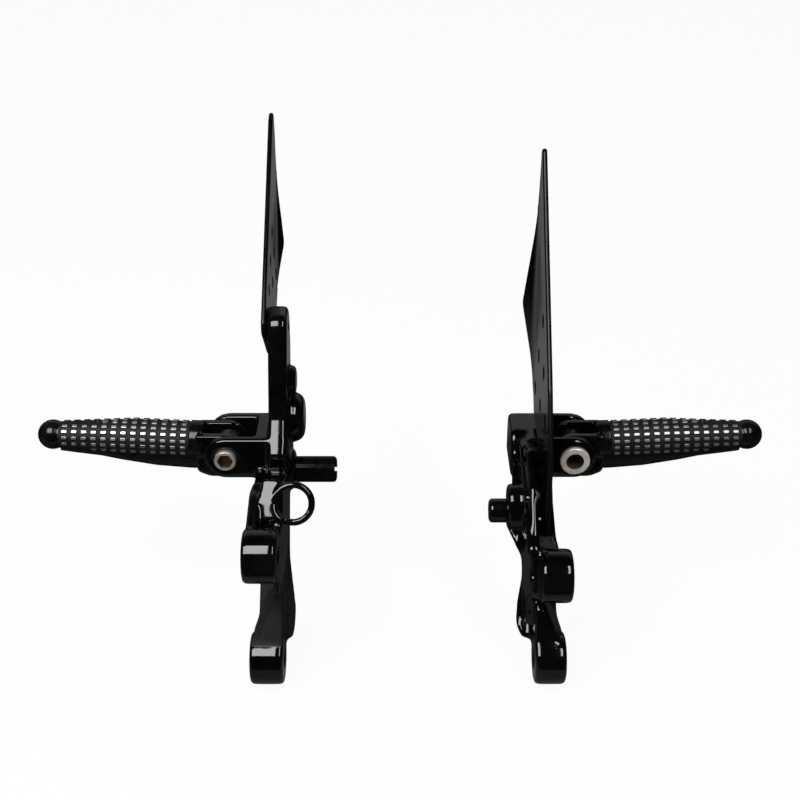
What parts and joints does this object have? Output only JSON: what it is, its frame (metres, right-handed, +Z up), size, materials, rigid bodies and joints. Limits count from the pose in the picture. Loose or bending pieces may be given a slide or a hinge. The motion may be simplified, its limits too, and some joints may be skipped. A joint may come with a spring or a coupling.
{
  "type": "footpeg bracket set",
  "caption": "Pair of motorbike footpeg brackets: black castings with bolt lugs, pierced heel guards and spring-return folding pegs with knurled tread.",
  "frame": {"origin": "centre of the left bracket's upper bolt hole, halfway through its lug", "axes": "+X from the left bracket to the right one, along the bolt holes; +Y rearward, along the peg pivots; +Z up"},
  "size_m": [0.4604, 0.2528, 0.2966],
  "materials": {
    "black_casting": "deep gloss black paint over a smooth casting",
    "black_sheet": "gloss black paint over sheet",
    "peg_alloy": "gloss black with bare machined pad tops",
    "pin_steel": "turned and plated",
    "spring_steel": "drawn wire",
    "black_steel": "blacked steel"
  },
  "bodies": {
    "brackets": {"left_bracket": "black_casting", "left_heel_guard": "black_sheet", "left_guard_screws": "black_steel", "left_pivot_pin": "pin_steel", "left_return_spring": "spring_steel", "brake_pedal_pivot": "black_steel", "right_bracket": "black_casting", "right_heel_guard": "black_sheet", "right_guard_screws": "black_steel", "right_pivot_pin": "pin_steel", "right_return_spring": "spring_steel", "gear_lever_pivot": "black_steel"},
    "left_peg": {"left_footpeg": "peg_alloy"},
    "right_peg": {"right_footpeg": "peg_alloy"}
  },
  "joints": [
    {"name": "left_peg_fold", "type": "hinge", "parent": "brackets", "child": "left_peg", "pos_m": [-0.0289, 0.101, 0.016], "axis": [0, 1, 0], "range_deg": [0, 85], "stiffness_Nm_per_rad": 0.4, "springref_deg": -34.38, "deforming": ["left_return_spring"]},
    {"name": "right_peg_fold", "type": "hinge", "parent": "brackets", "child": "right_peg", "pos_m": [0.1901, 0.101, 0.016], "axis": [0, -1, 0], "range_deg": [0, 85], "stiffness_Nm_per_rad": 0.4, "springref_deg": -34.38, "deforming": ["right_return_spring"]}
  ]
}
